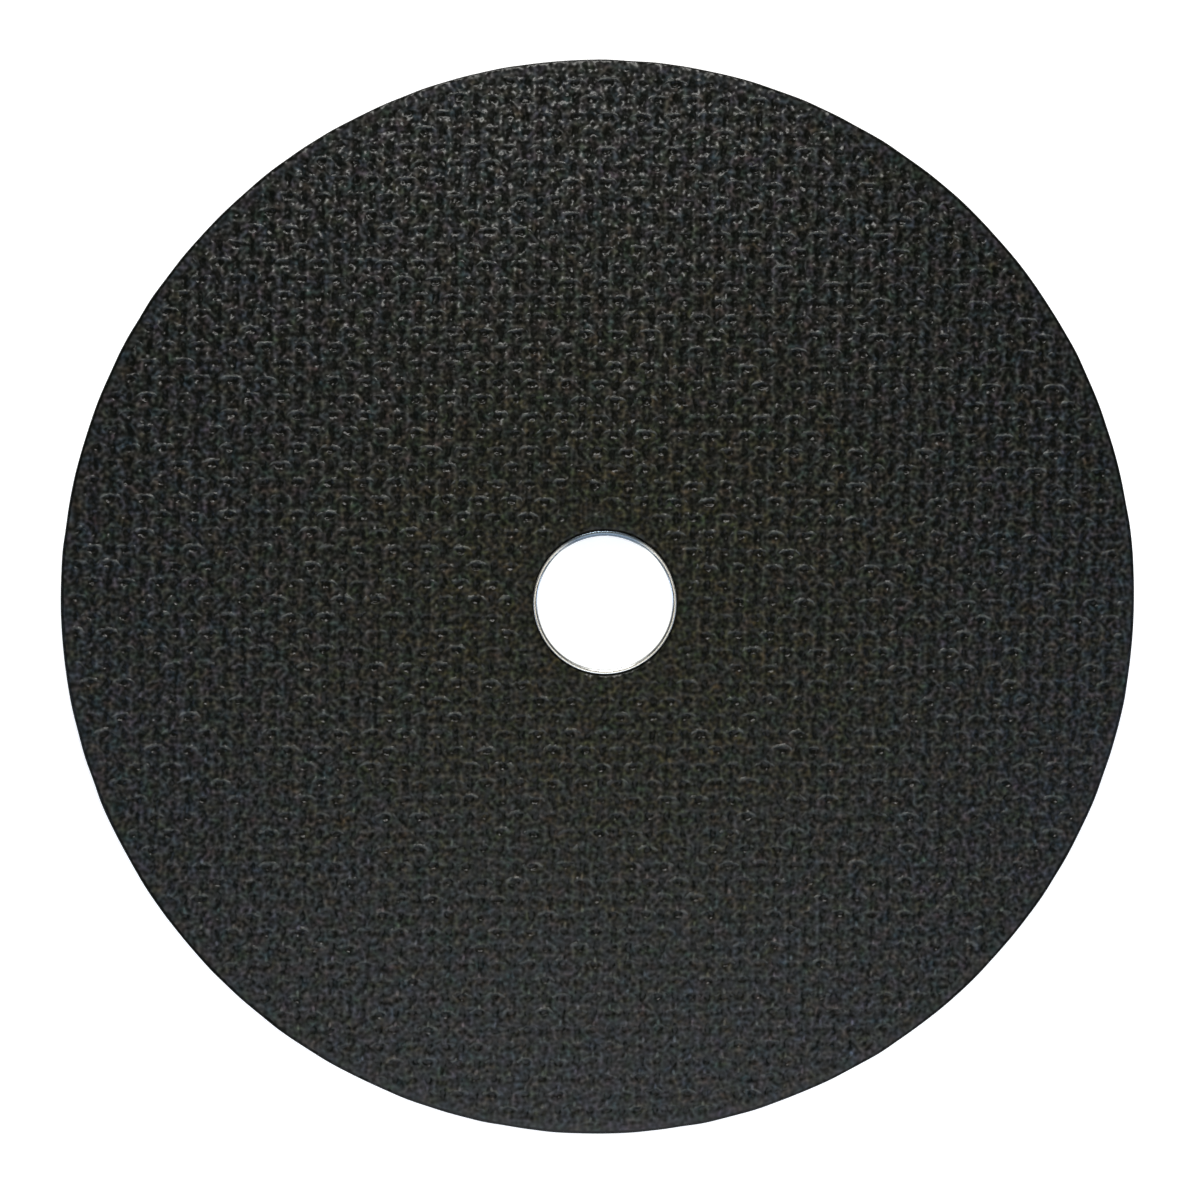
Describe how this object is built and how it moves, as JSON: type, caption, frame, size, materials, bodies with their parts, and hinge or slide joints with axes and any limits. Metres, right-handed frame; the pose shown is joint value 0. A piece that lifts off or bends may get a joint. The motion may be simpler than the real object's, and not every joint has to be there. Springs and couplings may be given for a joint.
{
  "type": "cut off wheel",
  "caption": "Flat resin-bonded abrasive wheel with glass cloth pressed into both faces and a steel ring lining its spindle hole.",
  "frame": {"origin": "centre of the spindle hole, in the plane that the wheel lies on", "axes": "+Z along the spindle axis, out of the face that the picture shows; +Y towards the top of the picture and +X to its right, along the yarns of the cloth"},
  "size_m": [0.18, 0.18, 0.003],
  "materials": {
    "abrasive": "black phenolic resin and grit, matt, with the relief of a plain-woven glass cloth",
    "ring_steel": "thin drawn sheet, bright plated, satin"
  },
  "bodies": {
    "root": {"abrasive_disc": "abrasive", "arbor_ring": "ring_steel"}
  },
  "joints": []
}
